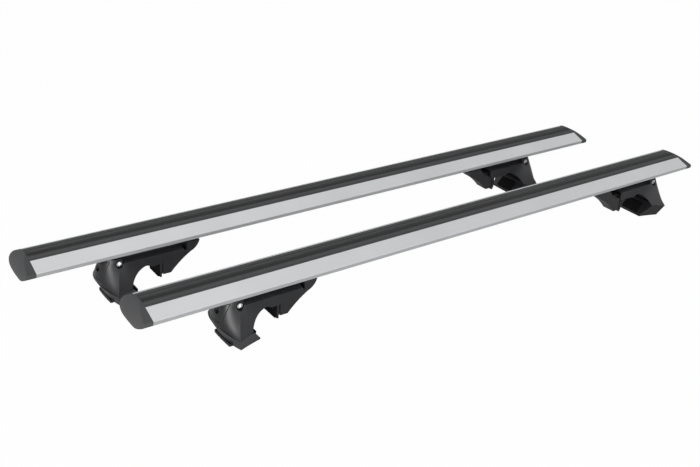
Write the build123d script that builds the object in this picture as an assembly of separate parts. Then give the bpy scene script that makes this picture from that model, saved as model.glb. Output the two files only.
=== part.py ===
from build123d import *
import math
import os

# Pair of roof cross bars on clamp feet for raised side rails.
# Millimetres. +X runs along the bars, +Y from the front bar to the rear bar, +Z up.
# The origin lies on the ground plane at the middle of the pair.

# Layout of the pair
BAR_SPACING = 205.3
BAR_LENGTH = 1200.0
BAR_STAGGER = 94.1
FOOT_SEAT_Z = 74.5

# Wing section, measured from the foot's middle plane (v) and the underside (h)
LIP_TOP_V = -38.6
LIP_TOP_H = 19.6
LIP_LOW_V = -36.6
LIP_LOW_H = 12.3
LIP_ROUND = 1.6
LIP_TOP_ROUND = 0.8
CREST_V = 10.0
CREST_RADIUS = 60.0
WING_HEIGHT = 33.5
NOSE_V = 27.0
NOSE_RADIUS = 15.2
LAND_FRONT_V = -11.0
UNDER_SAG = 1.0
WALL = 2.2

# Top slot and its rubber strip
STRIP_V = 7.5
STRIP_WIDTH = 39.0
STRIP_SINK = 2.0
SLOT_MOUTH = 12.0
SLOT_INNER = 22.0
SLOT_DEPTH = 11.0
SLOT_LEDGE = 2.4
STRIP_STEM = 2.2
STRIP_STEM_LENGTH = 7.0
STRIP_GROOVE = 5.0
STRIP_GROOVE_DEPTH = 1.3
STRIP_LINE = 1.1
STRIP_LINE_DEPTH = 0.6
STRIP_LINE_SPOTS = (-17.3, -8.3, 8.3, 17.3)
STRIP_FIT = 0.15

# Channel under the wing for the tee bolts
CHANNEL_MOUTH = 8.6
CHANNEL_INNER = 15.0
CHANNEL_LIP = 2.4
CHANNEL_DEPTH = 8.4

# End caps
CAP_LENGTH = 19.0
CAP_BOW_RADIUS = 28.6
CAP_PLAN_RADIUS = 400.0
CAP_CROWN_V = 3.0
CAP_CROWN_H = 7.2
CAP_ROUND = 0.5
CAP_PLUG_DEPTH = 14.0
CAP_PLUG_GAP = 0.4
CAP_PLUG_INSET = 2.0

# Foot housing, in foot axes: s inwards from the ledge corner, v across, w up
BASE_HEIGHT = 23.5
LEDGE_HALF = 51.0
LEDGE_RISE = 6.5
SIDE_TAPER = 0.363
SIDE_DRAFT = 0.001
DRAFT_TOP_W = 75.0
SOLE_CORNER_S = 7.5
SOLE_CORNER_V = 41.0
SOLE_BULGE = 7.0
BAND_TOP_W = 36.0
BAND_CORNER_S = -4.6
BAND_CORNER_V = 56.9
BAND_BULGE = 14.3
LIP_HALF = 24.0
LIP_REACH_S = -4.4
LIP_BOW = 0.8
LIP_HEIGHT = 5.0
TOE_S = 48.0
TOE_LIP = 2.6
RAIL_SEAT_S = 27.6
RAIL_HALF = 22.0
RAIL_BLEND_S = 112.0
SHOULDER_ROWS_W = (23.5, 30.0, 44.0, 65.0)
SHOULDER_ROWS_S = (0.0, 2.5, 7.9, 16.0)
SHOULDER_ROWS_V = (51.0, 46.5, 36.7, 22.0)
SHOULDER_ROWS_BULGE = (12.0, 17.7, 23.8, 26.0)
LONG_WALL_S = 129.0
SHORT_WALL_S = 113.0
ROOF_END_S = 108.0
NOSE_TOP_W = 74.1
NOSE_TOP_SHIFT = 4.6
NOSE_END_S = 22.0
NOSE_NARROWING = 2.0
SHOULDER_W = 68.5
SHOULDER_HALF = 11.5
NECK_HALF = 10.5
HOUSING_WALL = 3.0
JAW_TOP_W = 59.8
JAW_ROOF_GAP = 0.7
JAW_SIDE_GAP = 0.6
ROOF_W = JAW_TOP_W + JAW_ROOF_GAP
ARCH_TOP_S = 60.0
ARCH_TOP_W = 51.5
ARCH_MID_S = 41.0
ARCH_MID_W = 42.0
ARCH_END_S = 71.0
ARCH_END_W = 47.2
WALL_BOTTOM_W = 48.0
WALL_CORNER = 7.0
BULKHEAD_S = 22.0

# End cover and lock
COVER_HALF = 17.0
COVER_BOTTOM_W = 24.0
COVER_TOP_W = 70.5
COVER_THICKNESS = 3.0
COVER_GAP = 0.35
COVER_GROOVE_W = 38.6
COVER_GROOVE_HALF = 14.0
COVER_GROOVE_PITCH = 3.6
COVER_GROOVE_DEPTH = 0.8
COVER_GROOVE_WIDTH = 1.2
LOCK_RADIUS = 5.8
LOCK_RECESS_RADIUS = 6.8
LOCK_LENGTH = 7.6
LOCK_W = 57.5
LOCK_SETBACK = 1.6
LOCK_BOSS_WALL = 2.2
LOCK_CAM_REACH = 8.0
LOCK_CAM_THICKNESS = 1.8
LOCK_CAM_HALF = 3.0
LOCK_CAM_GAP = 0.5
KEY_SLOT_DEPTH = 5.0
KEY_SLOT_HALF = 0.9
KEY_SLOT_REACH = 3.6
RUNNING_GAP = 0.06

# Clamp screw, nut and washer
SCREW_DROP = 6.8
SCREW_W = JAW_TOP_W - SCREW_DROP
SCREW_RADIUS = 3.0
SCREW_TIP_S = 128.0
SCREW_HEAD_RADIUS = 5.0
SCREW_HEAD_LENGTH = 6.0
SCREW_SOCKET = 2.5
SCREW_SOCKET_DEPTH = 4.0
WASHER_RADIUS = 7.0
WASHER_THICKNESS = 1.6
NUT_RADIUS = 6.0
NUT_HALF = 7.5
NUT_OFFSET = 17.0
SCREW_CLEARANCE = 0.4

# Pocket behind the cover: room for the washer below and the lock's cam above
POCKET_HALF = 13.0
POCKET_MARGIN = 4.0
POCKET_BACK_S = 8.0
POCKET_BOTTOM_W = SCREW_W - WASHER_RADIUS - POCKET_MARGIN
POCKET_TOP_W = max(
    LOCK_W + LOCK_CAM_REACH + LOCK_CAM_GAP, SCREW_W + WASHER_RADIUS + LOCK_CAM_GAP
)

# Side screws: place along the foot and height on the long-wall and short-wall sides
SIDE_SCREW_S = (16.0, 12.0)
SIDE_SCREW_W = (65.5, 67.0)
SIDE_RECESS_RADIUS = 6.6
SIDE_HEAD_RADIUS = 4.6
SIDE_HEAD_LENGTH = 4.0
SIDE_SEAT_V = 16.5
SIDE_SHANK_RADIUS = 2.4
SIDE_SHANK_LENGTH = 9.0
SIDE_SOCKET = 2.0
SIDE_SOCKET_DEPTH = 3.0
SIDE_SHANK_GAP = 0.1
SIDE_TIP_GAP = 0.5

# Tee bolts that hold the foot to the bar
TEE_BOLT_S = (44.0, 96.0)
TEE_SHANK_RADIUS = 2.95
TEE_HEAD_LENGTH = 13.0
TEE_HEAD_WIDTH = 13.6
TEE_HEAD_HEIGHT = 4.6
TEE_NUT_FLAT = 5.0
TEE_NUT_HEIGHT = 4.6
TEE_POCKET_GAP = 0.5
TEE_HOLE_GAP = 0.3
TEE_TIP_GAP = 0.3

# Sliding inner jaw, measured from its flange face (x) along the foot
JAW_HALF = 18.0
JAW_MIDDLE_HALF = 8.0
JAW_FRONT_DROP = 11.8
JAW_FRONT_W = JAW_TOP_W - JAW_FRONT_DROP
JAW_TIP_W = 20.0
JAW_FLANGE = 3.2
JAW_GROOVE = 3.0
JAW_GROOVE_DEPTH = 2.5
JAW_SOLE_W = 24.0
JAW_SOLE_X = 20.0
JAW_SCOOP_MID = (38.0, 41.5)
JAW_SCOOP_END = (58.0, 55.5)
JAW_TAIL_MID = (68.0, 62.5)
JAW_LENGTH = 73.5
JAW_TAIL_TOP_W = 73.5
JAW_TAIL_X = 43.0
JAW_SLOPE_X = 30.0
JAW_NOTCH_X = 50.0
MIN_REACH = 82.0
MAX_REACH = 108.0

# Rubber faces
PAD_THICKNESS = 3.4
PAD_HALF = 16.5
PAD_TOP_MARGIN = 2.0
PAD_TIP_MARGIN = 1.5
PAD_TOP_W = JAW_FRONT_W - PAD_TOP_MARGIN
PAD_BOTTOM_W = JAW_TIP_W + PAD_TIP_MARGIN
STUD_RADIUS = 1.6
STUD_HEIGHT = 0.7
STUD_PITCH_V = 6.4
STUD_PITCH_W = 7.2
TOE_PAD_HALF = 18.0
TOE_PAD_THICKNESS = 3.6
TOE_PAD_EDGE = 2.4

# Reach of a cut past the foot, and the small overlap of joined solids
BEYOND = 60.0
OVERLAP = 1.0

# Where each foot stands: bar, side, ledge corner from the bar's end, jaw reach
FEET = {
    "front_left": ("front", "left", 131.7, 84.0),
    "front_right": ("front", "right", 66.0, 102.5),
    "rear_left": ("rear", "left", 121.0, 87.0),
    "rear_right": ("rear", "right", 138.0, 98.0),
}


def box_between(x0, x1, y0, y1, z0, z1):
    """A block given by its lowest and highest corners."""
    centre = Pos((x0 + x1) / 2, (y0 + y1) / 2, (z0 + z1) / 2)
    return centre * Box(x1 - x0, y1 - y0, z1 - z0)


def prism_xz(points, y0, y1):
    """An upright profile of (x, z) points, extruded across the part."""
    outline = Polyline(*[(x, y0, z) for x, z in points], close=True)
    return extrude(make_face(outline), y1 - y0, dir=(0, 1, 0))


def rod_x(radius, x0, x1, y, z):
    """A round bar along X."""
    return Pos((x0 + x1) / 2, y, z) * Rot(0, 90, 0) * Cylinder(radius, x1 - x0)


def rod_y(radius, x, y0, y1, z):
    """A round bar along Y."""
    return Pos(x, (y0 + y1) / 2, z) * Rot(90, 0, 0) * Cylinder(radius, y1 - y0)


def hexagon_x(flat, x0, x1, y, z):
    """A hexagonal bar along X, given by half its size across flats."""
    prism = extrude(RegularPolygon(flat, 6, major_radius=False), x1 - x0)
    return Pos(x0, y, z) * Rot(0, 90, 0) * prism


# Wing section: underside at h = 0, thin lip towards -Y, blunt nose towards +Y
def crest_h(v, radius=CREST_RADIUS):
    """Height of the wing's arched top at a place across it."""
    low = WING_HEIGHT - CREST_RADIUS
    return low + math.sqrt(radius ** 2 - (v - CREST_V) ** 2)


def wing_outline():
    """Closed outline of the wing: sloping face, arched top, round nose, flat land, lip."""
    strip_front = (STRIP_V - STRIP_WIDTH / 2, crest_h(STRIP_V - STRIP_WIDTH / 2))
    reach_v = NOSE_V - CREST_V
    reach_h = NOSE_RADIUS - (WING_HEIGHT - CREST_RADIUS)
    reach = math.hypot(reach_v, reach_h)
    joint = (NOSE_V + NOSE_RADIUS * reach_v / reach, NOSE_RADIUS + NOSE_RADIUS * reach_h / reach)
    lip_top = (LIP_TOP_V, LIP_TOP_H)
    lip_low = (LIP_LOW_V, LIP_LOW_H)
    land_front = (LAND_FRONT_V, 0.0)
    land_rear = (NOSE_V, 0.0)
    middle = ((LAND_FRONT_V + LIP_LOW_V) / 2, LIP_LOW_H / 2 - UNDER_SAG)
    face = Line(lip_top, strip_front)
    top = ThreePointArc(strip_front, (CREST_V, WING_HEIGHT), joint)
    nose = ThreePointArc(joint, (NOSE_V + NOSE_RADIUS, NOSE_RADIUS), land_rear)
    land = Line(land_rear, land_front)
    under = ThreePointArc(land_front, middle, lip_low)
    lip = Line(lip_low, lip_top)
    outline = make_face(Wire([face, top, nose, land, under, lip]))
    low_corner = outline.vertices().sort_by_distance((LIP_LOW_V, LIP_LOW_H))[0]
    outline = fillet(low_corner, LIP_ROUND)
    high_corner = outline.vertices().sort_by_distance((LIP_TOP_V, LIP_TOP_H))[0]
    return fillet(high_corner, LIP_TOP_ROUND)


def along_bar(profile, length):
    """A section in (v, h) swept along X, centred on the bar."""
    plane = Plane(origin=(-length / 2, 0, 0), x_dir=(0, 1, 0), z_dir=(1, 0, 0))
    return extrude(plane * profile, length)


def section_box(v0, v1, h0, h1):
    """A rectangle in the bar's section plane."""
    return Pos((v0 + v1) / 2, (h0 + h1) / 2) * Rectangle(v1 - v0, h1 - h0)


def under_crest(depth):
    """Everything in the section plane below a line parallel to the arched top."""
    return Pos(CREST_V, WING_HEIGHT - CREST_RADIUS) * Circle(CREST_RADIUS - depth)


def strip_seat(gap=0.0):
    """Recess in the wing's top that holds the rubber strip."""
    half = STRIP_WIDTH / 2 - gap
    band = section_box(STRIP_V - half, STRIP_V + half, WING_HEIGHT / 2, WING_HEIGHT + 5.0)
    return (wing_outline() & band) - under_crest(STRIP_SINK)


def slot_profile():
    """Tee slot below the strip, open to its seat."""
    low = WING_HEIGHT - SLOT_DEPTH
    ledge = crest_h(STRIP_V + SLOT_INNER / 2) - STRIP_SINK - SLOT_LEDGE
    mouth = section_box(STRIP_V - SLOT_MOUTH / 2, STRIP_V + SLOT_MOUTH / 2, low, WING_HEIGHT)
    inner = section_box(STRIP_V - SLOT_INNER / 2, STRIP_V + SLOT_INNER / 2, low, ledge)
    return mouth + inner


def channel_profile():
    """Tee channel in the underside for the tee bolts."""
    half = CHANNEL_MOUTH / 2
    mouth = section_box(-half, half, -1.0, CHANNEL_LIP + 1.0)
    inner = section_box(-CHANNEL_INNER / 2, CHANNEL_INNER / 2, CHANNEL_LIP, CHANNEL_DEPTH)
    return mouth + inner


def wing_core(gap=0.0):
    """The hollows inside the wing: its outline drawn in, less the slots' walls."""
    core = offset(wing_outline(), -(WALL + gap), kind=Kind.INTERSECTION)
    slot_half = SLOT_INNER / 2 + WALL + gap
    slot_low = WING_HEIGHT - SLOT_DEPTH - WALL - gap
    core = core - section_box(STRIP_V - slot_half, STRIP_V + slot_half, slot_low, WING_HEIGHT)
    channel_half = CHANNEL_INNER / 2 + WALL + gap
    core = core - section_box(-channel_half, channel_half, 0.0, CHANNEL_DEPTH + WALL + gap)
    roof = STRIP_WIDTH / 2 + WALL + gap
    band = section_box(STRIP_V - roof, STRIP_V + roof, WING_HEIGHT / 2, WING_HEIGHT)
    return core - (band - under_crest(STRIP_SINK + WALL + gap))


def extrusion():
    """Hollow aluminium wing with tee slots above and below."""
    web = section_box(-WALL / 2, WALL / 2, 0.0, WING_HEIGHT)
    hollow = wing_core() - web
    section = wing_outline() - hollow - strip_seat() - slot_profile() - channel_profile()
    return along_bar(section, BAR_LENGTH)


def top_strip():
    """Rubber infill: a ribbed band with a middle groove and two stems in the slot."""
    band = strip_seat(STRIP_FIT)
    stem_top = WING_HEIGHT - STRIP_SINK
    for side in (-1, 1):
        middle = STRIP_V + side * (SLOT_MOUTH / 2 - STRIP_FIT - STRIP_STEM / 2)
        low = stem_top - STRIP_STEM_LENGTH
        high = crest_h(middle) - STRIP_SINK + 0.6
        band += section_box(middle - STRIP_STEM / 2, middle + STRIP_STEM / 2, low, high)
    groove = section_box(
        STRIP_V - STRIP_GROOVE / 2, STRIP_V + STRIP_GROOVE / 2, WING_HEIGHT / 2, WING_HEIGHT + 2.0
    )
    band = band - (groove - under_crest(STRIP_GROOVE_DEPTH))
    for spot in STRIP_LINE_SPOTS:
        middle = STRIP_V + spot
        line = section_box(
            middle - STRIP_LINE / 2, middle + STRIP_LINE / 2, WING_HEIGHT / 2, WING_HEIGHT + 2.0
        )
        band = band - (line - under_crest(STRIP_LINE_DEPTH))
    return along_bar(band, BAR_LENGTH)


def cap_dome(start):
    """Solid whose outer skin is the cap's domed face: an upright bow turned in plan."""
    crown = start + CAP_LENGTH
    axis_x = crown - CAP_PLAN_RADIUS
    bow = Pos(crown - CAP_BOW_RADIUS, 0, CAP_CROWN_H) * Rot(90, 0, 0) * Circle(CAP_BOW_RADIUS)
    reach = Pos((axis_x + crown) / 2, 0, CAP_CROWN_H) * Rot(90, 0, 0) * Rectangle(
        CAP_PLAN_RADIUS, 2 * CAP_BOW_RADIUS
    )
    inner = Pos((axis_x + crown - CAP_BOW_RADIUS) / 2, 0, CAP_CROWN_H) * Rot(90, 0, 0) * Rectangle(
        CAP_PLAN_RADIUS - CAP_BOW_RADIUS, 2 * CAP_BOW_RADIUS
    )
    half = (bow & reach) + inner
    turned = revolve(half, Axis((axis_x, 0, 0), (0, 0, 1)), 360)
    return Pos(0, CAP_CROWN_V, 0) * turned


def end_cap():
    """Moulded cap at the +X end: walls flush with the wing, a bowed face and a plug."""
    start = BAR_LENGTH / 2
    plane = Plane(origin=(start, 0, 0), x_dir=(0, 1, 0), z_dir=(1, 0, 0))
    body = extrude(plane * wing_outline(), 2 * CAP_LENGTH)
    body = body & cap_dome(start)
    face = body.faces().sort_by(Axis.X)[-1]
    body = fillet(face.edges(), CAP_ROUND)
    inner = Plane(origin=(start - CAP_PLUG_DEPTH, 0, 0), x_dir=(0, 1, 0), z_dir=(1, 0, 0))
    plug = wing_core(CAP_PLUG_GAP)
    front = section_box(LIP_TOP_V, STRIP_V - SLOT_INNER / 2 - WALL - CAP_PLUG_INSET, 0.0, WING_HEIGHT)
    rear = section_box(STRIP_V + SLOT_INNER / 2 + WALL + CAP_PLUG_INSET, BEYOND, 0.0, WING_HEIGHT)
    tongue = extrude(inner * (plug & (front + rear)), CAP_PLUG_DEPTH)
    return body + tongue


# Foot housing
def side_curve(corner_s, corner_v, rail_v, end_s, w, side):
    """One side in plan: flares from the rail to the outer corner, then runs straight."""
    bend_s = corner_s + (corner_v - rail_v) / SIDE_TAPER
    blend_s = max(RAIL_BLEND_S, bend_s + 1.0)
    flare = Bezier(
        (corner_s, side * corner_v, w), (bend_s, side * rail_v, w), (blend_s, side * rail_v, w)
    )
    rail = Line((blend_s, side * rail_v, w), (end_s, side * rail_v, w))
    return [flare, rail]


def plan_face(w, corner_s, corner_v, bulge, rail_v):
    """Plan outline of the foot at a height: a bowed outer end and flared sides."""
    nose = ThreePointArc(
        (corner_s, corner_v, w), (corner_s - bulge, 0, w), (corner_s, -corner_v, w)
    )
    back = Line((LONG_WALL_S, -rail_v, w), (LONG_WALL_S, rail_v, w))
    left = side_curve(corner_s, corner_v, rail_v, LONG_WALL_S, w, 1)
    right = side_curve(corner_s, corner_v, rail_v, LONG_WALL_S, w, -1)
    return make_face(Wire([nose, back] + left + right))


def upper_body(inset=0.0):
    """The flared upper body between the ledge and the ridge."""
    sections = []
    rows = zip(SHOULDER_ROWS_W, SHOULDER_ROWS_S, SHOULDER_ROWS_V, SHOULDER_ROWS_BULGE)
    for w, corner_s, corner_v, bulge in rows:
        rail_v = RAIL_HALF - inset - SIDE_DRAFT * (DRAFT_TOP_W - w)
        sections.append(plan_face(w, corner_s + inset, corner_v - inset, bulge, rail_v))
    return loft(sections)


def base_body():
    """The chamfered base, its ledge rising to the middle of the outer end, and its lip."""
    sole_rail = RAIL_HALF - 0.4
    sole = plan_face(0.0, SOLE_CORNER_S, SOLE_CORNER_V, SOLE_BULGE, sole_rail)
    band = plan_face(BAND_TOP_W, BAND_CORNER_S, BAND_CORNER_V, BAND_BULGE, RAIL_HALF + 0.6)
    arc = ThreePointArc(
        (0, -LEDGE_HALF, BASE_HEIGHT),
        (0, 0, BASE_HEIGHT + LEDGE_RISE),
        (0, LEDGE_HALF, BASE_HEIGHT),
    )
    rest = Polyline(
        (0, LEDGE_HALF, BASE_HEIGHT),
        (0, 2 * LEDGE_HALF, BASE_HEIGHT),
        (0, 2 * LEDGE_HALF, -1.0),
        (0, -2 * LEDGE_HALF, -1.0),
        (0, -2 * LEDGE_HALF, BASE_HEIGHT),
        (0, -LEDGE_HALF, BASE_HEIGHT),
    )
    crowned = Pos(RAIL_SEAT_S, 0, 0) * make_face(Wire([arc] + list(rest.edges())))
    below = extrude(crowned, 100.0, dir=(-1, 0, 0))
    flat = box_between(
        RAIL_SEAT_S, LONG_WALL_S + 1.0, -2 * LEDGE_HALF, 2 * LEDGE_HALF, -1.0, BASE_HEIGHT
    )
    base = loft([sole, band], ruled=True) & (below + flat)
    return base + lip()


def lip():
    """Low bowed lip along the bottom of the outer end."""
    bow = ThreePointArc(
        (LIP_REACH_S + LIP_BOW, -LIP_HALF, 0),
        (LIP_REACH_S, 0, 0),
        (LIP_REACH_S + LIP_BOW, LIP_HALF, 0),
    )
    back = Polyline(
        (LIP_REACH_S + LIP_BOW, LIP_HALF, 0),
        (SOLE_CORNER_S, LIP_HALF, 0),
        (SOLE_CORNER_S, -LIP_HALF, 0),
        (LIP_REACH_S + LIP_BOW, -LIP_HALF, 0),
    )
    return extrude(make_face(Wire([bow] + list(back.edges()))), LIP_HEIGHT, dir=(0, 0, 1))


def nose_face(w, shift, half):
    """Plan outline of the outer end's top at a height."""
    corner_s = SHOULDER_ROWS_S[-1]
    tip = corner_s - SHOULDER_ROWS_BULGE[-1] + shift
    bow = ThreePointArc((corner_s, half, w), (tip, 0, w), (corner_s, -half, w))
    rest = Polyline(
        (corner_s, -half, w), (NOSE_END_S, -half, w), (NOSE_END_S, half, w), (corner_s, half, w)
    )
    return make_face(Wire([bow] + list(rest.edges())))


def nose_top():
    """The top of the outer end, between the ridge and the bar."""
    low = nose_face(SHOULDER_ROWS_W[-1], 0.0, RAIL_HALF)
    high = nose_face(NOSE_TOP_W, NOSE_TOP_SHIFT, RAIL_HALF - NOSE_NARROWING)
    return loft([low, high], ruled=True)


def shoulder_and_neck():
    """Sloping shoulders along the rail and the neck that seats on the bar."""
    start = SHOULDER_ROWS_S[-1]
    middle = (start + LONG_WALL_S) / 2
    length = LONG_WALL_S - start
    low = Pos(middle, 0, SHOULDER_ROWS_W[-1]) * Rectangle(length, 2 * RAIL_HALF)
    high = Pos(middle, 0, SHOULDER_W) * Rectangle(length, 2 * SHOULDER_HALF)
    shoulders = loft([low, high], ruled=True)
    neck = box_between(start, ROOF_END_S, -NECK_HALF, NECK_HALF, SHOULDER_W - 1.0, FOOT_SEAT_Z)
    return shoulders + neck


def rail_space():
    """The space under the arch that the car's rail fills, cut straight across."""
    arch = ThreePointArc(
        (RAIL_SEAT_S, 0, BASE_HEIGHT), (ARCH_MID_S, 0, ARCH_MID_W), (ARCH_TOP_S, 0, ARCH_TOP_W)
    )
    crown = ThreePointArc(
        (ARCH_TOP_S, 0, ARCH_TOP_W),
        ((ARCH_TOP_S + ARCH_END_S) / 2, 0, ARCH_TOP_W - 1.2),
        (ARCH_END_S, 0, ARCH_END_W),
    )
    rest = Polyline(
        (ARCH_END_S, 0, ARCH_END_W),
        (LONG_WALL_S + 2.0, 0, WALL_BOTTOM_W),
        (LONG_WALL_S + 2.0, 0, -1.0),
        (TOE_S, 0, -1.0),
        (TOE_S, 0, TOE_LIP),
        (RAIL_SEAT_S, 0, BASE_HEIGHT),
    )
    face = make_face(Wire([arch, crown] + list(rest.edges())))
    return extrude(face, LEDGE_HALF + 10.0, both=True, dir=(0, 1, 0))


def wall_end(end_s, side):
    """Everything beyond the end of one side wall, with a round lower corner."""
    high = WALL_BOTTOM_W + WALL_CORNER
    turn = WALL_CORNER * (1 - math.sqrt(0.5))
    corner = ThreePointArc(
        (end_s - WALL_CORNER, 0, WALL_BOTTOM_W),
        (end_s - turn, 0, WALL_BOTTOM_W + turn),
        (end_s, 0, high),
    )
    rest = Polyline(
        (end_s, 0, high),
        (end_s, 0, FOOT_SEAT_Z + 2.0),
        (LONG_WALL_S + 2.0, 0, FOOT_SEAT_Z + 2.0),
        (LONG_WALL_S + 2.0, 0, WALL_BOTTOM_W - 2.0),
        (end_s - WALL_CORNER, 0, WALL_BOTTOM_W - 2.0),
        (end_s - WALL_CORNER, 0, WALL_BOTTOM_W),
    )
    face = make_face(Wire([corner] + list(rest.edges())))
    return extrude(face, side * LEDGE_HALF, dir=(0, 1, 0))


def open_end():
    """The open inner end between the walls, beyond the roof, under the shoulders."""
    inner = RAIL_HALF - HOUSING_WALL
    rim = SHOULDER_HALF - HOUSING_WALL
    low = SHOULDER_ROWS_W[-1] - HOUSING_WALL
    high = SHOULDER_W - HOUSING_WALL
    outline = Polyline(
        (ROOF_END_S, -inner, 0),
        (ROOF_END_S, -inner, low),
        (ROOF_END_S, -rim, high),
        (ROOF_END_S, -rim, FOOT_SEAT_Z),
        (ROOF_END_S, rim, FOOT_SEAT_Z),
        (ROOF_END_S, rim, high),
        (ROOF_END_S, inner, low),
        (ROOF_END_S, inner, 0),
        close=True,
    )
    return extrude(make_face(outline), LONG_WALL_S, dir=(1, 0, 0))


def foot_body():
    """Outer form of the foot, before the rail space and the hollows are cut."""
    body = upper_body() + base_body()
    body = body + nose_top()
    return body + shoulder_and_neck()


def cover_zone(gap=0.0):
    """Slab of the outer end that the cover takes up."""
    return box_between(
        -BEYOND,
        SHOULDER_ROWS_S[-1],
        -COVER_HALF + gap,
        COVER_HALF - gap,
        COVER_BOTTOM_W + gap,
        COVER_TOP_W - gap,
    )


def grip_groove():
    """Closed loop of a groove, seen from the outer end, cut straight through."""
    plane = Plane(origin=(-BEYOND, 0, COVER_GROOVE_W), x_dir=(0, 1, 0), z_dir=(1, 0, 0))
    outer = SlotOverall(2 * COVER_GROOVE_HALF, COVER_GROOVE_PITCH + COVER_GROOVE_WIDTH)
    inner = SlotOverall(
        2 * COVER_GROOVE_HALF - 2 * COVER_GROOVE_WIDTH, COVER_GROOVE_PITCH - COVER_GROOVE_WIDTH
    )
    return extrude(plane * (outer - inner), BEYOND + SHOULDER_ROWS_S[-1])


def end_cover(body):
    """Curved cover over the screw's pocket, with a grip groove and the lock's boss."""
    skin = body & cover_zone(COVER_GAP)
    skin = skin - Pos(COVER_THICKNESS, 0, 0) * body
    outer_skin = body - Pos(COVER_GROOVE_DEPTH, 0, 0) * body
    skin = skin - (grip_groove() & outer_skin)
    face_s = lock_face_s()
    boss = rod_x(
        LOCK_RADIUS + LOCK_BOSS_WALL,
        face_s + COVER_THICKNESS / 2,
        face_s + LOCK_LENGTH,
        0,
        LOCK_W,
    )
    boss = boss & (Pos(COVER_THICKNESS / 2, 0, 0) * body)
    recess = rod_x(LOCK_RECESS_RADIUS, -BEYOND, face_s + LOCK_SETBACK, 0, LOCK_W)
    bore = rod_x(LOCK_RADIUS + RUNNING_GAP, -BEYOND, BEYOND, 0, LOCK_W)
    return skin + boss - bore - recess


def lock_face_s():
    """Where the outer end's surface lies in front of the lock."""
    span = SHOULDER_ROWS_W[-1] - SHOULDER_ROWS_W[-2]
    share = (LOCK_W - SHOULDER_ROWS_W[-2]) / span
    mid_face = SHOULDER_ROWS_S[-2] - SHOULDER_ROWS_BULGE[-2]
    ridge_face = SHOULDER_ROWS_S[-1] - SHOULDER_ROWS_BULGE[-1]
    return mid_face + (ridge_face - mid_face) * share


def lock_barrel():
    """Key barrel with a key slot and a cam behind the cover's boss."""
    start = lock_face_s() + LOCK_SETBACK
    end = start + LOCK_LENGTH
    barrel = rod_x(LOCK_RADIUS, start, end, 0, LOCK_W)
    slot = box_between(
        start - 1.0,
        start + KEY_SLOT_DEPTH,
        -KEY_SLOT_HALF,
        KEY_SLOT_HALF,
        LOCK_W - KEY_SLOT_REACH,
        LOCK_W + KEY_SLOT_REACH,
    )
    cam = box_between(
        end,
        end + LOCK_CAM_THICKNESS,
        -LOCK_CAM_HALF,
        LOCK_CAM_HALF,
        LOCK_W - LOCK_RADIUS,
        LOCK_W + LOCK_CAM_REACH,
    )
    return barrel - slot + cam


def housing(body):
    """Moulded housing: outer form less rail space, hollows, pocket and screw seats."""
    shell = body - rail_space()
    far = LONG_WALL_S + 1.0
    hollow = upper_body(HOUSING_WALL) & box_between(
        BULKHEAD_S, far, -BEYOND, BEYOND, BASE_HEIGHT + 2 * HOUSING_WALL, ROOF_W
    )
    shell = shell - hollow
    channel_half = JAW_HALF + JAW_SIDE_GAP
    channel = box_between(
        BULKHEAD_S, far, -channel_half, channel_half, ARCH_TOP_W - 8.0, ROOF_W
    )
    shell = shell - channel - open_end()
    shell = shell - wall_end(SHORT_WALL_S, 1) - wall_end(LONG_WALL_S, -1)
    opening = cover_zone() & (body - Pos(COVER_THICKNESS + COVER_GAP, 0, 0) * body)
    shell = shell - opening
    pocket = box_between(
        -BEYOND, POCKET_BACK_S, -POCKET_HALF, POCKET_HALF, POCKET_BOTTOM_W, POCKET_TOP_W
    )
    shell = shell - pocket
    screw_hole = rod_x(SCREW_RADIUS + SCREW_CLEARANCE, 0.0, BULKHEAD_S + 2.0, 0, SCREW_W)
    shell = shell - screw_hole
    for side, place, height in side_screw_spots():
        seat = side * SIDE_SEAT_V
        out = side * BEYOND
        shell = shell - rod_y(SIDE_RECESS_RADIUS, place, min(seat, out), max(seat, out), height)
        deep = side * (SIDE_SEAT_V - SIDE_SHANK_LENGTH - SIDE_TIP_GAP)
        hole = rod_y(
            SIDE_SHANK_RADIUS + SIDE_SHANK_GAP, place, min(deep, seat), max(deep, seat), height
        )
        shell = shell - hole
    for place in TEE_BOLT_S:
        shell = shell - Pos(place, 0, (ROOF_W + FOOT_SEAT_Z) / 2) * Cylinder(
            TEE_SHANK_RADIUS + TEE_HOLE_GAP, FOOT_SEAT_Z - ROOF_W + 2.0
        )
        pocket_cut = extrude(
            RegularPolygon(TEE_NUT_FLAT + TEE_POCKET_GAP, 6, major_radius=False),
            TEE_NUT_HEIGHT + TEE_POCKET_GAP,
        )
        shell = shell - Pos(place, 0, ROOF_W) * pocket_cut
    return shell


# Sliding jaw
def jaw_profile(front_x, front_w):
    """Side profile of the jaw, scooped below, its top sloping up from a front height."""
    tail = (JAW_LENGTH, 0, JAW_TAIL_TOP_W)
    scoop_end = (JAW_SCOOP_END[0], 0, JAW_SCOOP_END[1])
    scoop = ThreePointArc(
        (JAW_SOLE_X, 0, JAW_SOLE_W), (JAW_SCOOP_MID[0], 0, JAW_SCOOP_MID[1]), scoop_end
    )
    rise = ThreePointArc(scoop_end, (JAW_TAIL_MID[0], 0, JAW_TAIL_MID[1]), tail)
    rest = Polyline(
        tail,
        (JAW_TAIL_X, 0, JAW_TAIL_TOP_W),
        (JAW_SLOPE_X, 0, JAW_TOP_W),
        (front_x, 0, front_w),
        (front_x, 0, JAW_SOLE_W),
        (JAW_SOLE_X, 0, JAW_SOLE_W),
    )
    return make_face(Wire([scoop, rise] + list(rest.edges())))


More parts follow.
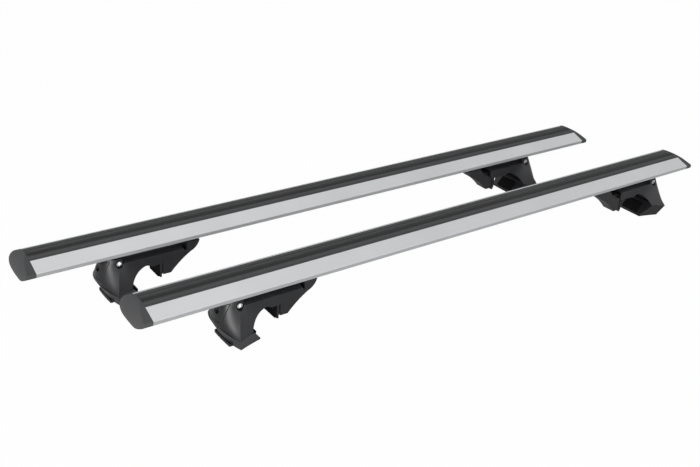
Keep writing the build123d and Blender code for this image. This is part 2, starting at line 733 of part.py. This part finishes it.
def inner_jaw(reach, near):
    """Jaw with a broad flange, a middle that the screw passes and a flank on one side."""
    middle = extrude(jaw_profile(0.0, JAW_TOP_W), JAW_MIDDLE_HALF, both=True, dir=(0, 1, 0))
    flank = extrude(jaw_profile(JAW_FLANGE, JAW_FRONT_W), near * JAW_HALF, dir=(0, 1, 0))
    flange = box_between(0.0, JAW_FLANGE, -JAW_HALF, JAW_HALF, JAW_TIP_W, JAW_FRONT_W)
    groove = box_between(
        JAW_FLANGE,
        JAW_FLANGE + JAW_GROOVE,
        JAW_HALF - JAW_GROOVE_DEPTH,
        JAW_HALF + 1.0,
        JAW_SOLE_W - 1.0,
        JAW_TOP_W,
    )
    if near < 0:
        groove = mirror(groove, Plane.XZ)
    notch = box_between(
        JAW_FLANGE,
        JAW_NOTCH_X,
        -JAW_HALF - 1.0,
        -JAW_MIDDLE_HALF,
        JAW_TOP_W,
        JAW_TAIL_TOP_W + 1.0,
    )
    body = flange + middle + (flank - groove - notch)
    tip = SCREW_TIP_S - MIN_REACH + 1.0
    body = body - rod_x(SCREW_RADIUS + SCREW_CLEARANCE, -1.0, tip, 0, SCREW_W)
    bore = rod_y(NUT_RADIUS + 0.1, NUT_OFFSET, -JAW_MIDDLE_HALF - 1.0, NUT_HALF, SCREW_W)
    if near < 0:
        bore = mirror(bore, Plane.XZ)
    return Pos(reach, 0, 0) * (body - bore)


def clamp_nut(reach):
    """Cross-drilled barrel nut in the jaw."""
    middle = reach + NUT_OFFSET
    barrel = rod_y(NUT_RADIUS, middle, -NUT_HALF, NUT_HALF, SCREW_W)
    hole = rod_x(
        SCREW_RADIUS + RUNNING_GAP, middle - 2 * NUT_RADIUS, middle + 2 * NUT_RADIUS, 0, SCREW_W
    )
    return barrel - hole


def inner_pad(reach):
    """Studded rubber face on the jaw's flange."""
    pad = box_between(
        reach - PAD_THICKNESS, reach, -PAD_HALF, PAD_HALF, PAD_BOTTOM_W, PAD_TOP_W
    )
    face = reach - PAD_THICKNESS
    middle = (PAD_BOTTOM_W + PAD_TOP_W) / 2
    for row in (-1, 0, 1):
        for column in (-2, -1, 0, 1, 2):
            pad = pad + rod_x(
                STUD_RADIUS,
                face - STUD_HEIGHT,
                face + 0.5,
                column * STUD_PITCH_V,
                middle + row * STUD_PITCH_W,
            )
    return pad


def outer_pad():
    """Rubber slab on the housing's sloping toe, bevelled at its ends."""
    run = math.hypot(TOE_S - RAIL_SEAT_S, BASE_HEIGHT - TOE_LIP)
    down = ((TOE_S - RAIL_SEAT_S) / run, (TOE_LIP - BASE_HEIGHT) / run)
    out = (-down[1], down[0])

    def on_slope(along, lift):
        return (
            RAIL_SEAT_S + down[0] * along + out[0] * lift,
            BASE_HEIGHT + down[1] * along + out[1] * lift,
        )

    profile = [
        on_slope(TOE_PAD_EDGE, 0.0),
        on_slope(run - TOE_PAD_EDGE, 0.0),
        on_slope(run - 2 * TOE_PAD_EDGE, TOE_PAD_THICKNESS),
        on_slope(2 * TOE_PAD_EDGE, TOE_PAD_THICKNESS),
    ]
    return prism_xz(profile, -TOE_PAD_HALF, TOE_PAD_HALF)


def clamp_screw():
    """Long socket-head screw that draws the jaw towards the toe."""
    seat = POCKET_BACK_S - WASHER_THICKNESS
    shank = rod_x(SCREW_RADIUS, seat, SCREW_TIP_S, 0, SCREW_W)
    head = rod_x(SCREW_HEAD_RADIUS, seat - SCREW_HEAD_LENGTH, seat, 0, SCREW_W)
    outer = seat - SCREW_HEAD_LENGTH
    socket = hexagon_x(SCREW_SOCKET, outer - OVERLAP, outer + SCREW_SOCKET_DEPTH, 0, SCREW_W)
    return shank + head - socket


def thrust_washer():
    """Washer between the screw's head and the bulkhead."""
    start = POCKET_BACK_S - WASHER_THICKNESS
    disc = rod_x(WASHER_RADIUS, start, POCKET_BACK_S, 0, SCREW_W)
    return disc - rod_x(SCREW_RADIUS + RUNNING_GAP, start - 1.0, POCKET_BACK_S + 1.0, 0, SCREW_W)


def side_screw_spots():
    """Side, place along the foot and height of the two side screws."""
    return [
        (side, place, height)
        for side, place, height in zip((-1, 1), SIDE_SCREW_S, SIDE_SCREW_W)
    ]


def side_screws():
    """The two socket screws in the side recesses."""
    screws = []
    for side, place, height in side_screw_spots():
        seat = side * SIDE_SEAT_V
        top = side * (SIDE_SEAT_V + SIDE_HEAD_LENGTH)
        deep = side * (SIDE_SEAT_V - SIDE_SHANK_LENGTH)
        head = rod_y(SIDE_HEAD_RADIUS, place, min(seat, top), max(seat, top), height)
        shank = rod_y(SIDE_SHANK_RADIUS, place, min(deep, seat), max(deep, seat), height)
        prism = extrude(
            RegularPolygon(SIDE_SOCKET, 6, major_radius=False), SIDE_SOCKET_DEPTH, both=True
        )
        socket = Pos(place, top, height) * Rot(90, 0, 0) * prism
        screws.append(head + shank - socket)
    return screws


def tee_bolts():
    """Tee bolts whose heads lie in the bar's lower channel."""
    bolts = []
    seat = FOOT_SEAT_Z + CHANNEL_LIP
    for place in TEE_BOLT_S:
        head = box_between(
            place - TEE_HEAD_LENGTH / 2,
            place + TEE_HEAD_LENGTH / 2,
            -TEE_HEAD_WIDTH / 2,
            TEE_HEAD_WIDTH / 2,
            seat,
            seat + TEE_HEAD_HEIGHT,
        )
        low = ROOF_W + TEE_TIP_GAP
        shank = Pos(place, 0, (low + seat) / 2) * Cylinder(TEE_SHANK_RADIUS, seat - low)
        bolts.append(head + shank)
    return bolts


def tee_nuts():
    """Hexagon nuts in the housing's roof, under each tee bolt."""
    nuts = []
    for place in TEE_BOLT_S:
        nut = extrude(RegularPolygon(TEE_NUT_FLAT, 6, major_radius=False), TEE_NUT_HEIGHT)
        hole = Cylinder(TEE_SHANK_RADIUS + RUNNING_GAP, 4 * TEE_NUT_HEIGHT)
        nuts.append(Pos(place, 0, ROOF_W + TEE_POCKET_GAP) * (nut - hole))
    return nuts


# Placing and writing
def place_bar(shape, bar):
    """Move a bar's piece from its own axes to the pair's."""
    side = -1 if bar == "front" else 1
    return Pos(-side * BAR_STAGGER / 2, side * BAR_SPACING / 2, FOOT_SEAT_Z) * shape


def place_foot(shape, foot):
    """Move a foot's piece from foot axes to the pair's, turned half round on the right."""
    bar, hand, inset, _ = FEET[foot]
    side = -1 if bar == "front" else 1
    corner = BAR_LENGTH / 2 - inset
    if hand == "right":
        shape = Rot(0, 0, 180) * shape
    else:
        corner = -corner
    return Pos(-side * BAR_STAGGER / 2 + corner, side * BAR_SPACING / 2, 0) * shape


def write(name, shape):
    """Write one node."""
    export_step(shape, f"parts/{name}.step")


def write_foot(name, piece, shapes):
    """Write one of a foot's pieces, or a group of like ones, in place."""
    placed = [place_foot(shape, name) for shape in shapes]
    whole = placed[0] if len(placed) == 1 else Compound(children=placed)
    write(f"{name}_{piece}", whole)


os.makedirs("parts", exist_ok=True)

wing = extrusion()
strip = top_strip()
cap = end_cap()
for bar_name in ("front", "rear"):
    write(f"{bar_name}_bar", place_bar(wing, bar_name))
    write(f"{bar_name}_top_strip", place_bar(strip, bar_name))
    write(f"{bar_name}_cap_right", place_bar(cap, bar_name))
    write(f"{bar_name}_cap_left", place_bar(mirror(cap, about=Plane.YZ), bar_name))

outer_form = foot_body()
housing_shape = housing(outer_form)
cover_shape = end_cover(outer_form)
for foot_name, (_, hand, _, jaw_reach) in FEET.items():
    near_side = -1 if hand == "left" else 1
    write_foot(foot_name, "housing", [housing_shape])
    write_foot(foot_name, "end_cover", [cover_shape])
    write_foot(foot_name, "lock_barrel", [lock_barrel()])
    write_foot(foot_name, "outer_pad", [outer_pad()])
    write_foot(foot_name, "inner_jaw", [inner_jaw(jaw_reach, near_side)])
    write_foot(foot_name, "inner_pad", [inner_pad(jaw_reach)])
    write_foot(foot_name, "clamp_screw", [clamp_screw()])
    write_foot(foot_name, "clamp_nut", [clamp_nut(jaw_reach)])
    write_foot(foot_name, "thrust_washer", [thrust_washer()])
    write_foot(foot_name, "side_screws", side_screws())
    write_foot(foot_name, "tee_bolts", tee_bolts())
    write_foot(foot_name, "tee_nuts", tee_nuts())
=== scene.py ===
import math

import bpy
from mathutils import Matrix, Vector

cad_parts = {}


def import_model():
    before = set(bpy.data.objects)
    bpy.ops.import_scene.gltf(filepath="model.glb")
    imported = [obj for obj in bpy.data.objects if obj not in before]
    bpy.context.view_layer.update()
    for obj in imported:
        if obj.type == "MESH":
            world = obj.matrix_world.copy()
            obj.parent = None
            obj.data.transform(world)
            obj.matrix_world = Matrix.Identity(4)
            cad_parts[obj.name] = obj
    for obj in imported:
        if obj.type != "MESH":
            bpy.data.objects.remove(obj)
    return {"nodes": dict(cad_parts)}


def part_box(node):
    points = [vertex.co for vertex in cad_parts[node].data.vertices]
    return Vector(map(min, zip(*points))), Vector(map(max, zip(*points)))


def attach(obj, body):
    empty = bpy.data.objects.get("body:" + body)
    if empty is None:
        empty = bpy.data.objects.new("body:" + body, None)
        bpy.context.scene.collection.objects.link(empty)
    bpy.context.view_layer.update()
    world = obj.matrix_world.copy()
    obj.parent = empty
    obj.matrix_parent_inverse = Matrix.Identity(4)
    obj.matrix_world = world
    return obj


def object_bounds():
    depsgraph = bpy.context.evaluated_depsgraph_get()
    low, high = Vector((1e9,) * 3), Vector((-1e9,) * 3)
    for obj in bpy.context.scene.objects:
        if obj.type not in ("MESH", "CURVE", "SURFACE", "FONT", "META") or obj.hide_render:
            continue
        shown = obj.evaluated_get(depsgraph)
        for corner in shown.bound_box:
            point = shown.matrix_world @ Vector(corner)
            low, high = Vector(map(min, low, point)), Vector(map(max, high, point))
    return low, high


# Pair of wing-section cross bars on clamp feet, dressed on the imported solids.
# Metres. +X along the bars, +Y from the front bar to the rear bar, +Z up.

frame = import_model()
cad_low, cad_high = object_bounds()
nodes = frame["nodes"]

# How far the rear bar lies behind the front bar
bar_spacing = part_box("rear_bar")[0].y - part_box("front_bar")[0].y

# The feet, as their nodes' names start
FEET = ("front_left", "front_right", "rear_left", "rear_right")

# Camera, at the photograph's place: focal length in pixels of its 700 px width, and
# degrees turned from +Y towards +X, downwards, and with the right side up
IMAGE_WIDTH = 700
FOCAL_PIXELS = 936.9
SENSOR_MM = 36.0
CAMERA_YAW = 37.21
CAMERA_PITCH = 27.20
CAMERA_ROLL = 4.01
CAMERA_PLACE = (-1.00595, -1.17535, 0.81850)
CLIP_START = 0.05
CLIP_END = 60.0

# Sky: what lights the object, and what is mirrored in it
WHITE = (1.0, 1.0, 1.0, 1.0)
SKY_COLOR = (0.96, 0.98, 1.0, 1.0)
SKY_STRENGTH = 0.22
SKY_MIRRORED_COLOR = (0.98, 0.99, 1.0, 1.0)
SKY_MIRRORED = 0.84

# Floor: its own tone, and how much plain white is seen and mirrored in its place
FLOOR_SIZE = 14.0
FLOOR_DROP = 0.0002
FLOOR_COLOR = (0.9, 0.9, 0.9, 1.0)
FLOOR_SHOWN_WHITE = 0.985
FLOOR_MIRRORED_WHITE = 0.12

# Square lamps: name, place, point aimed at, size in metres and power in watts
LAMPS = (
    ("key", (-1.6, -2.2, 2.6), (0.0, 0.0, 0.05), 2.4, 15.0),
    ("low", (-2.5, -1.9, 0.55), (-0.3, -0.1, 0.05), 1.3, 62.0),
    ("fill", (1.3, -2.6, 1.9), (0.0, 0.0, 0.05), 1.9, 13.0),
    ("top", (0.2, 0.6, 3.0), (0.0, 0.0, 0.0), 2.6, 5.0),
)

# Part of a noise pattern's range that is spread over a tone or a number, and how
# fine the patterns are
NOISE_LOW = 0.3
NOISE_HIGH = 0.7
FINE_DETAIL = 2.0
CLOUD_DETAIL = 3.0
MOULD_CLOUD_DETAIL = 4.0

# Anodised aluminium: fine die lines along the bar under a satin coat
SILVER = (0.64, 0.645, 0.65)
SILVER_DARK = (0.62, 0.625, 0.63)
SILVER_LIGHT = (0.66, 0.665, 0.67)
SILVER_METALLIC = 0.85
SILVER_ROUGH = 0.42
SILVER_ROUGH_SPREAD = 0.04
SILVER_CLOUD_SCALE = 9.0
DIE_LINE_STRETCH = (3.0, 1400.0, 1400.0)
DIE_LINE_STRENGTH = 0.12
DIE_LINE_DEPTH = 0.00004
COAT_WEIGHT = 0.35
COAT_ROUGH = 0.3

# Spark-eroded grain and soft clouds of the moulded pieces
GRAIN_SCALE = 2600.0
GRAIN_STRENGTH = 0.25
GRAIN_DEPTH = 0.00006
MOULD_CLOUD_SCALE = 22.0
MOULD_ROUGH_BELOW = 0.04
MOULD_ROUGH_ABOVE = 0.05

# Turning marks and clouds of the plated steel
MARK_STRENGTH = 0.15
MARK_DEPTH = 0.00005
PLATE_CLOUD_SCALE = 60.0
PLATE_ROUGH_BELOW = 0.05
PLATE_ROUGH_ABOVE = 0.08

# Painted shade and painted highlight of the rubber strips' grooves, laid on as tone bands:
# place across the bar from its foot's middle, and level
PAINTED_BANDS_START = -0.013
PAINTED_BANDS_END = 0.028
PAINTED_SHADE_BANDS = (
    (-0.013, 0.55),
    (-0.0105, 0.95),
    (-0.0085, 0.72),
    (-0.0055, 0.95),
    (-0.0015, 0.66),
    (0.001, 0.22),
    (0.0045, 0.20),
    (0.0075, 0.75),
    (0.010, 0.92),
    (0.013, 0.62),
    (0.018, 0.56),
    (0.0225, 0.95),
)

# Edge rounding: cut into the shape, and seen in the shading of moulded pieces
PLASTIC_ROUND = 0.0006
METAL_ROUND = 0.0003
ROUND_SEGMENTS = 2
ROUND_ANGLE = 32.0
FOOT_EDGE = 0.0012
CAP_EDGE = 0.0008
EDGE_SAMPLES = 6

# Rib beside each jaw's middle: nearest and farthest from the foot's middle plane,
# height above its underside, and length from just behind the jaw's front face
RIB_NEAR = 0.0078
RIB_FAR = 0.0150
RIB_FRONT_W = 0.0465
RIB_TOP_W = 0.0596
RIB_SETBACK = 0.0002
RIB_LENGTH = 0.0300


def camera():
    """The camera, turned by yaw, pitch and roll from looking along +Y."""
    yaw, pitch, roll = (math.radians(a) for a in (CAMERA_YAW, CAMERA_PITCH, CAMERA_ROLL))
    ahead = Vector(
        (math.sin(yaw) * math.cos(pitch), math.cos(yaw) * math.cos(pitch), -math.sin(pitch))
    )
    level = Vector((math.cos(yaw), -math.sin(yaw), 0.0))
    upright = level.cross(ahead)
    right = math.cos(roll) * level + math.sin(roll) * upright
    up = math.cos(roll) * upright - math.sin(roll) * level
    data = bpy.data.cameras.new("camera")
    data.sensor_width = SENSOR_MM
    data.lens = FOCAL_PIXELS / IMAGE_WIDTH * SENSOR_MM
    data.clip_start = CLIP_START
    data.clip_end = CLIP_END
    made = bpy.data.objects.new("camera", data)
    turn = Matrix((right, up, -ahead)).transposed().to_4x4()
    made.matrix_world = Matrix.Translation(CAMERA_PLACE) @ turn
    bpy.context.collection.objects.link(made)
    bpy.context.scene.camera = made


def background(tree, color, strength):
    """One plain background of the world."""
    made = tree.nodes.new("ShaderNodeBackground")
    made.inputs["Color"].default_value = color
    made.inputs["Strength"].default_value = strength
    return made


def mixed(tree, share, first, second):
    """Two shaders mixed by a socket's value, which is the second one's share."""
    made = tree.nodes.new("ShaderNodeMixShader")
    tree.links.new(share, made.inputs["Fac"])
    tree.links.new(first.outputs[0], made.inputs[1])
    tree.links.new(second.outputs[0], made.inputs[2])
    return made


def world():
    """Pale sky for the light, plain white where it is seen or mirrored."""
    sky = bpy.data.worlds.new("sky")
    sky.use_nodes = True
    tree = sky.node_tree
    tree.nodes.clear()
    out = tree.nodes.new("ShaderNodeOutputWorld")
    lit = background(tree, SKY_COLOR, SKY_STRENGTH)
    shown = background(tree, WHITE, 1.0)
    mirrored = background(tree, SKY_MIRRORED_COLOR, SKY_MIRRORED)
    path = tree.nodes.new("ShaderNodeLightPath")
    unseen = mixed(tree, path.outputs["Is Glossy Ray"], lit, mirrored)
    direct = tree.nodes.new("ShaderNodeMath")
    direct.operation = "MAXIMUM"
    tree.links.new(path.outputs["Is Camera Ray"], direct.inputs[0])
    tree.links.new(path.outputs["Is Transmission Ray"], direct.inputs[1])
    whole = mixed(tree, direct.outputs[0], unseen, shown)
    tree.links.new(whole.outputs[0], out.inputs["Surface"])
    bpy.context.scene.world = sky


def lamp(name, place, aim, size, power):
    """A square soft light aimed at a point."""
    data = bpy.data.lights.new(name, "AREA")
    data.shape = "SQUARE"
    data.size = size
    data.energy = power
    made = bpy.data.objects.new(name, data)
    made.location = place
    made.rotation_mode = "QUATERNION"
    made.rotation_quaternion = (Vector(aim) - Vector(place)).to_track_quat("-Z", "Y")
    bpy.context.collection.objects.link(made)


def shader(name, color, metallic, roughness):
    """A material with its main shader set, and its tree for more nodes."""
    made = bpy.data.materials.new(name)
    made.use_nodes = True
    tree = made.node_tree
    main = tree.nodes["Principled BSDF"]
    main.inputs["Base Color"].default_value = (*color, 1.0)
    main.inputs["Metallic"].default_value = metallic
    main.inputs["Roughness"].default_value = roughness
    return made, tree, main


def noise(tree, scale, detail, stretch=(1.0, 1.0, 1.0)):
    """A noise pattern fixed to the object."""
    place = tree.nodes.new("ShaderNodeTexCoord")
    fit = tree.nodes.new("ShaderNodeMapping")
    fit.inputs["Scale"].default_value = stretch
    made = tree.nodes.new("ShaderNodeTexNoise")
    made.inputs["Scale"].default_value = scale
    made.inputs["Detail"].default_value = detail
    tree.links.new(place.outputs["Object"], fit.inputs["Vector"])
    tree.links.new(fit.outputs["Vector"], made.inputs["Vector"])
    return made


def vary(tree, source, low, high, target):
    """Feeds a pattern to a shader's number, between a low and a high value."""
    span = tree.nodes.new("ShaderNodeMapRange")
    span.inputs["From Min"].default_value = NOISE_LOW
    span.inputs["From Max"].default_value = NOISE_HIGH
    span.inputs["To Min"].default_value = low
    span.inputs["To Max"].default_value = high
    tree.links.new(source.outputs["Fac"], span.inputs["Value"])
    tree.links.new(span.outputs["Result"], target)


def tint(tree, source, dark, light, target):
    """Feeds a pattern to a shader's colour, between a dark and a light tone."""
    ramp = tree.nodes.new("ShaderNodeValToRGB")
    ramp.color_ramp.elements[0].position = NOISE_LOW
    ramp.color_ramp.elements[0].color = (*dark, 1.0)
    ramp.color_ramp.elements[1].position = NOISE_HIGH
    ramp.color_ramp.elements[1].color = (*light, 1.0)
    tree.links.new(source.outputs["Fac"], ramp.inputs["Fac"])
    tree.links.new(ramp.outputs["Color"], target)


def relief(tree, main, source, strength, depth, edge=0.0):
    """Feeds a pattern to the surface as fine relief, over softly rounded edges."""
    bump = tree.nodes.new("ShaderNodeBump")
    if edge:
        soft = tree.nodes.new("ShaderNodeBevel")
        soft.samples = EDGE_SAMPLES
        soft.inputs["Radius"].default_value = edge
        tree.links.new(soft.outputs["Normal"], bump.inputs["Normal"])
    bump.inputs["Strength"].default_value = strength
    bump.inputs["Distance"].default_value = depth
    tree.links.new(source.outputs["Fac"], bump.inputs["Height"])
    tree.links.new(bump.outputs["Normal"], main.inputs["Normal"])


def anodised():
    """Satin anodised aluminium with die lines along the extrusion."""
    made, tree, main = shader("anodised", SILVER, SILVER_METALLIC, SILVER_ROUGH)
    lines = noise(tree, 1.0, FINE_DETAIL, DIE_LINE_STRETCH)
    clouds = noise(tree, SILVER_CLOUD_SCALE, CLOUD_DETAIL)
    tint(tree, clouds, SILVER_DARK, SILVER_LIGHT, main.inputs["Base Color"])
    smooth, dull = SILVER_ROUGH - SILVER_ROUGH_SPREAD, SILVER_ROUGH + SILVER_ROUGH_SPREAD
    vary(tree, lines, smooth, dull, main.inputs["Roughness"])
    relief(tree, main, lines, DIE_LINE_STRENGTH, DIE_LINE_DEPTH)
    main.inputs["Coat Weight"].default_value = COAT_WEIGHT
    main.inputs["Coat Roughness"].default_value = COAT_ROUGH
    return made


def moulded(name, dark, light, rough, shine, edge=0.0):
    """Satin moulded plastic or rubber with a fine spark-eroded grain."""
    made, tree, main = shader(name, light, 0.0, rough)
    main.inputs["Specular IOR Level"].default_value = shine
    cloud = noise(tree, MOULD_CLOUD_SCALE, MOULD_CLOUD_DETAIL)
    fine = noise(tree, GRAIN_SCALE, FINE_DETAIL)
    tint(tree, cloud, dark, light, main.inputs["Base Color"])
    smooth, dull = rough - MOULD_ROUGH_BELOW, rough + MOULD_ROUGH_ABOVE
    vary(tree, cloud, smooth, dull, main.inputs["Roughness"])
    relief(tree, main, fine, GRAIN_STRENGTH, GRAIN_DEPTH, edge)
    return made


def across_bar(tree):
    """Place across the bar from its foot's middle, with both bars folded onto one span."""
    place = tree.nodes.new("ShaderNodeTexCoord")
    split = tree.nodes.new("ShaderNodeSeparateXYZ")
    tree.links.new(place.outputs["Object"], split.inputs["Vector"])
    shift = tree.nodes.new("ShaderNodeMath")
    shift.operation = "ADD"
    shift.inputs[1].default_value = bar_spacing / 2
    tree.links.new(split.outputs["Y"], shift.inputs[0])
    across = tree.nodes.new("ShaderNodeMath")
    across.operation = "WRAP"
    across.inputs[1].default_value = bar_spacing * 3 / 4
    across.inputs[2].default_value = -bar_spacing / 4
    tree.links.new(shift.outputs[0], across.inputs[0])
    return across.outputs[0]


def rubber_with_painted_shade(name, dark, light, rough, shine):
    """Extruded rubber with painted shade and painted highlight in bands along the bar,
    standing in for the light and shade of its grooves.
    """
    made = moulded(name, dark, light, rough, shine)
    tree = made.node_tree
    main = tree.nodes["Principled BSDF"]
    tone = main.inputs["Base Color"].links[0].from_socket
    # The bands darken the strip where its grooves' floors lie in shade and lighten it where
    # their far walls catch the light: painted shade and painted highlight.
    span = tree.nodes.new("ShaderNodeMapRange")
    span.inputs["From Min"].default_value = PAINTED_BANDS_START
    span.inputs["From Max"].default_value = PAINTED_BANDS_END
    tree.links.new(across_bar(tree), span.inputs["Value"])
    ramp = tree.nodes.new("ShaderNodeValToRGB")
    stops = ramp.color_ramp.elements
    while len(stops) > 1:
        stops.remove(stops[-1])
    for number, (spot, level) in enumerate(PAINTED_SHADE_BANDS):
        where = (spot - PAINTED_BANDS_START) / (PAINTED_BANDS_END - PAINTED_BANDS_START)
        stop = stops[0] if number == 0 else stops.new(where)
        stop.position = where
        stop.color = (level, level, level, 1.0)
    tree.links.new(span.outputs["Result"], ramp.inputs["Fac"])
    mix = tree.nodes.new("ShaderNodeMix")
    mix.data_type = "RGBA"
    mix.blend_type = "MULTIPLY"
    mix.inputs["Factor"].default_value = 1.0
    tree.links.new(tone, mix.inputs["A"])
    tree.links.new(ramp.outputs["Color"], mix.inputs["B"])
    tree.links.new(mix.outputs["Result"], main.inputs["Base Color"])
    return made


def plated(name, dark, light, rough, stretch):
    """Plated steel with turning marks."""
    made, tree, main = shader(name, light, 1.0, rough)
    marks = noise(tree, 1.0, FINE_DETAIL, stretch)
    cloud = noise(tree, PLATE_CLOUD_SCALE, CLOUD_DETAIL)
    tint(tree, cloud, dark, light, main.inputs["Base Color"])
    smooth, dull = rough - PLATE_ROUGH_BELOW, rough + PLATE_ROUGH_ABOVE
    vary(tree, marks, smooth, dull, main.inputs["Roughness"])
    relief(tree, main, marks, MARK_STRENGTH, MARK_DEPTH)
    return made


def dress(node, material, rounding):
    """Gives a solid its material and softly rounded edges."""
    made = nodes[node]
    made.data.materials.clear()
    made.data.materials.append(material)
    if rounding:
        soft = made.modifiers.new("rounding", "BEVEL")
        soft.width = rounding
        soft.segments = ROUND_SEGMENTS
        soft.limit_method = "ANGLE"
        soft.angle_limit = math.radians(ROUND_ANGLE)
        soft.harden_normals = False


def jaw_rib(foot, material):
    """Low rib beside the jaw's middle, on the slope of its flank."""
    low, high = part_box(foot + "_inner_jaw")
    middle = (bar_spacing if foot.startswith("rear") else -bar_spacing) / 2
    if foot.endswith("left"):
        face, inward = low.x, 1.0
    else:
        face, inward = high.x, -1.0
    profile = [
        (RIB_SETBACK, RIB_FRONT_W),
        (RIB_SETBACK, RIB_TOP_W),
        (RIB_LENGTH, RIB_TOP_W),
    ]
    points = [
        (face + inward * along, middle - across, cad_low.z + up)
        for across in (RIB_NEAR, RIB_FAR)
        for along, up in profile
    ]
    sides = [(0, 1, 2), (5, 4, 3), (0, 3, 4, 1), (1, 4, 5, 2), (2, 5, 3, 0)]
    if inward < 0:
        sides = [tuple(reversed(side)) for side in sides]
    mesh = bpy.data.meshes.new(foot + "_jaw_rib")
    mesh.from_pydata(points, [], sides)
    mesh.materials.append(material)
    made = bpy.data.objects.new(foot + "_jaw_rib", mesh)
    bpy.context.collection.objects.link(made)
    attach(made, foot + "_jaw")


def paper():
    """Pale floor that shows white and keeps a soft shadow."""
    made = bpy.data.materials.new("paper")
    made.use_nodes = True
    tree = made.node_tree
    tree.nodes.clear()
    out = tree.nodes.new("ShaderNodeOutputMaterial")
    dull = tree.nodes.new("ShaderNodeBsdfDiffuse")
    dull.inputs["Color"].default_value = FLOOR_COLOR
    white = tree.nodes.new("ShaderNodeEmission")
    white.inputs["Color"].default_value = WHITE
    white.inputs["Strength"].default_value = 1.0
    path = tree.nodes.new("ShaderNodeLightPath")
    seen = tree.nodes.new("ShaderNodeMath")
    seen.operation = "MULTIPLY"
    seen.inputs[1].default_value = FLOOR_SHOWN_WHITE
    tree.links.new(path.outputs["Is Camera Ray"], seen.inputs[0])
    share = tree.nodes.new("ShaderNodeMath")
    share.operation = "MULTIPLY_ADD"
    share.inputs[1].default_value = FLOOR_MIRRORED_WHITE
    tree.links.new(path.outputs["Is Glossy Ray"], share.inputs[0])
    tree.links.new(seen.outputs[0], share.inputs[2])
    whole = mixed(tree, share.outputs[0], dull, white)
    tree.links.new(whole.outputs[0], out.inputs["Surface"])
    return made


def floor():
    """The floor, a hair below the feet."""
    mesh = bpy.data.meshes.new("floor")
    half = FLOOR_SIZE / 2
    corners = [(-half, -half, 0.0), (half, -half, 0.0), (half, half, 0.0), (-half, half, 0.0)]
    mesh.from_pydata(corners, [], [(0, 1, 2, 3)])
    mesh.materials.append(paper())
    made = bpy.data.objects.new("floor", mesh)
    made.location.z = cad_low.z - FLOOR_DROP
    bpy.context.collection.objects.link(made)


bpy.context.scene.view_settings.view_transform = "Standard"
camera()
world()
for row in LAMPS:
    lamp(*row)

silver = anodised()
strip_rubber = rubber_with_painted_shade(
    "strip_rubber",
    dark=(0.092, 0.092, 0.094),
    light=(0.106, 0.106, 0.108),
    rough=0.6,
    shine=0.22,
)
cap_plastic = moulded(
    "cap_plastic",
    dark=(0.076, 0.076, 0.078),
    light=(0.090, 0.090, 0.092),
    rough=0.5,
    shine=0.18,
    edge=CAP_EDGE,
)
foot_plastic = moulded(
    "foot_plastic",
    dark=(0.0095, 0.0095, 0.0108),
    light=(0.0135, 0.0137, 0.0158),
    rough=0.41,
    shine=0.52,
    edge=FOOT_EDGE,
)
cover_plastic = moulded(
    "cover_plastic",
    dark=(0.014, 0.014, 0.0152),
    light=(0.020, 0.020, 0.0218),
    rough=0.34,
    shine=0.45,
    edge=CAP_EDGE,
)
pad_rubber = moulded(
    "pad_rubber",
    dark=(0.0025, 0.0025, 0.0025),
    light=(0.0045, 0.0045, 0.0045),
    rough=0.75,
    shine=0.12,
)
bright_steel = plated(
    "bright_steel",
    dark=(0.74, 0.74, 0.73),
    light=(0.82, 0.82, 0.81),
    rough=0.22,
    stretch=(800.0, 60.0, 800.0),
)
zinc_steel = plated(
    "zinc_steel",
    dark=(0.50, 0.51, 0.52),
    light=(0.60, 0.61, 0.62),
    rough=0.34,
    stretch=(60.0, 900.0, 900.0),
)
lock_metal = plated(
    "lock_metal",
    dark=(0.08, 0.08, 0.08),
    light=(0.13, 0.13, 0.13),
    rough=0.36,
    stretch=(60.0, 900.0, 900.0),
)

# Material and edge rounding of each solid, as its node's name ends
finishes = {
    "bar": (silver, METAL_ROUND),
    "top_strip": (strip_rubber, 0.0),
    "cap_left": (cap_plastic, PLASTIC_ROUND),
    "cap_right": (cap_plastic, PLASTIC_ROUND),
    "housing": (foot_plastic, PLASTIC_ROUND),
    "end_cover": (cover_plastic, METAL_ROUND),
    "lock_barrel": (lock_metal, METAL_ROUND),
    "outer_pad": (pad_rubber, PLASTIC_ROUND),
    "inner_jaw": (foot_plastic, PLASTIC_ROUND),
    "inner_pad": (pad_rubber, METAL_ROUND),
    "clamp_screw": (zinc_steel, METAL_ROUND),
    "clamp_nut": (zinc_steel, METAL_ROUND),
    "thrust_washer": (zinc_steel, METAL_ROUND),
    "side_screws": (bright_steel, METAL_ROUND),
    "tee_bolts": (zinc_steel, METAL_ROUND),
    "tee_nuts": (zinc_steel, METAL_ROUND),
}
for node in nodes:
    for ending, (finish, rounding) in finishes.items():
        if node.endswith(ending):
            dress(node, finish, rounding)

for foot in FEET:
    jaw_rib(foot, foot_plastic)
floor()
